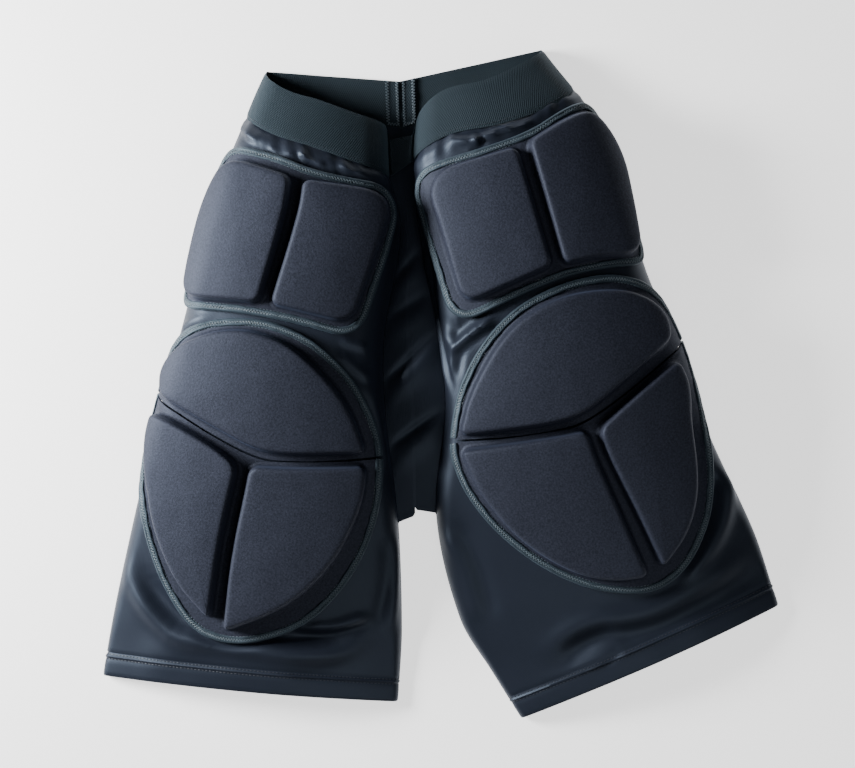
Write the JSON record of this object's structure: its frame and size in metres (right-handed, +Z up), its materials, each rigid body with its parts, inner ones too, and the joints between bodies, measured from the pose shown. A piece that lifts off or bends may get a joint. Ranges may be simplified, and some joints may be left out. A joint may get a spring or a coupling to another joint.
{
  "type": "padded hockey shorts",
  "caption": "Stretch padded shorts laid on their back: elastic waist, segmented foam pads on the hips, thighs and seat, hemmed legs.",
  "frame": {"origin": "centre of the shorts' own box in plan, at the surface that they lie on", "axes": "+Z up out of the surface, away from the wearer's back to the wearer's front; +Y towards the waist; +X towards the wearer's left leg, so the shorts are seen from the front"},
  "size_m": [0.5527, 0.5469, 0.0735],
  "materials": {
    "shell_knit": "stretch knit with a soft sheen, dark navy black",
    "pad_knit": "matte jersey laminated over the moulded foam, dark blue-grey",
    "elastic": "ribbed woven elastic, dark teal grey",
    "binding": "folded stretch tape with two rows of zigzag stitches",
    "backing_knit": "thin tricot behind the foam",
    "foam": "closed-cell foam, matt"
  },
  "bodies": {
    "seat": {"waistband": "elastic", "waistband_join": "elastic", "centre_front_panel": "shell_knit", "right_front_panel": "shell_knit", "left_front_panel": "shell_knit", "right_back_panel": "shell_knit", "left_back_panel": "shell_knit", "right_hip_backing": "backing_knit", "right_hip_foam_inner": "foam", "right_hip_foam_outer": "foam", "right_hip_cover": "pad_knit", "right_hip_binding": "binding", "left_hip_backing": "backing_knit", "left_hip_foam_inner": "foam", "left_hip_foam_outer": "foam", "left_hip_cover": "pad_knit", "left_hip_binding": "binding", "right_thigh_backing_upper": "backing_knit", "right_thigh_foam_top": "foam", "right_thigh_cover_upper": "pad_knit", "right_thigh_binding_upper": "binding", "left_thigh_backing_upper": "backing_knit", "left_thigh_foam_top": "foam", "left_thigh_cover_upper": "pad_knit", "left_thigh_binding_upper": "binding", "tailbone_backing": "backing_knit", "tailbone_foam": "foam", "tailbone_cover": "pad_knit", "tailbone_binding": "binding", "right_seat_backing": "backing_knit", "right_seat_foam": "foam", "right_seat_cover": "pad_knit", "right_seat_binding": "binding", "left_seat_backing": "backing_knit", "left_seat_foam": "foam", "left_seat_cover": "pad_knit", "left_seat_binding": "binding"},
    "right_leg": {"right_leg_front": "shell_knit", "right_leg_back": "shell_knit", "right_hem": "shell_knit", "right_thigh_backing_lower": "backing_knit", "right_thigh_foam_inner": "foam", "right_thigh_foam_outer": "foam", "right_thigh_cover_lower": "pad_knit", "right_thigh_binding_lower": "binding"},
    "left_leg": {"left_leg_front": "shell_knit", "left_leg_back": "shell_knit", "left_hem": "shell_knit", "left_thigh_backing_lower": "backing_knit", "left_thigh_foam_inner": "foam", "left_thigh_foam_outer": "foam", "left_thigh_cover_lower": "pad_knit", "left_thigh_binding_lower": "binding"}
  },
  "joints": [
    {"name": "right_leg_flex", "type": "hinge", "parent": "seat", "child": "right_leg", "pos_m": [-0.13083, -0.03713, 0.05069], "axis": [-0.9765, 0.2157, 0], "range_deg": [0, 20]},
    {"name": "left_leg_flex", "type": "hinge", "parent": "seat", "child": "left_leg", "pos_m": [0.09727, -0.01089, 0.05119], "axis": [-0.9316, -0.3635, 0], "range_deg": [0, 20]}
  ]
}
